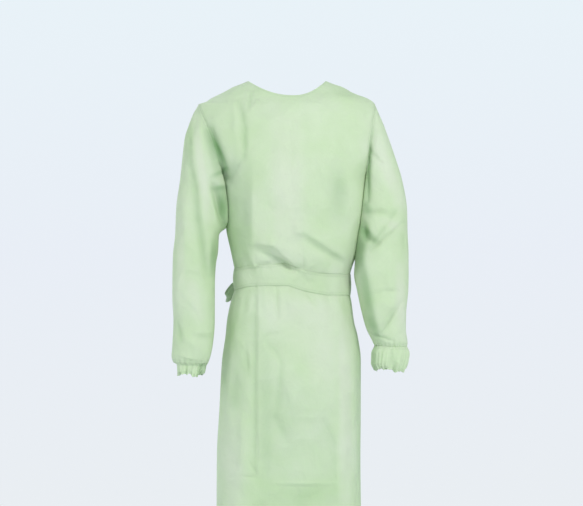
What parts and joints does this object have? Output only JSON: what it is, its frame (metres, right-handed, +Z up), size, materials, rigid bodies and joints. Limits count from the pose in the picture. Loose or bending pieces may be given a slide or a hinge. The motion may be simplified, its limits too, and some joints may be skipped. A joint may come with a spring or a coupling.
{
  "type": "isolation gown",
  "caption": "Long-sleeved isolation gown in thin non-woven cloth, filled out as worn with no wearer, with gathered cuffs, a waist belt and overlapping back panels.",
  "frame": {"origin": "where the wearer's shoulders hold the gown: midway between the two side-neck points, at their height", "axes": "+Z up the gown, -Y the way the front panel faces, +X towards the right seen from the front"},
  "size_m": [0.5504, 0.3012, 1.1604],
  "materials": {
    "gown_cloth": "thin pale green non-woven cloth, faintly sheer, matt with a slight sheen",
    "tie_cloth": "folded strips of the same non-woven cloth, a little darker"
  },
  "bodies": {
    "root": {"front_panel": "gown_cloth", "left_back_panel": "gown_cloth", "right_back_panel": "gown_cloth", "left_sleeve": "gown_cloth", "right_sleeve": "gown_cloth", "left_cuff": "gown_cloth", "right_cuff": "gown_cloth", "waist_belt": "gown_cloth", "belt_knot": "tie_cloth", "belt_left_loop": "tie_cloth", "belt_right_loop": "tie_cloth", "belt_long_end": "tie_cloth", "belt_short_end": "tie_cloth", "neck_tie_knot": "tie_cloth", "neck_tie_long_end": "tie_cloth", "neck_tie_short_end": "tie_cloth"}
  },
  "joints": []
}
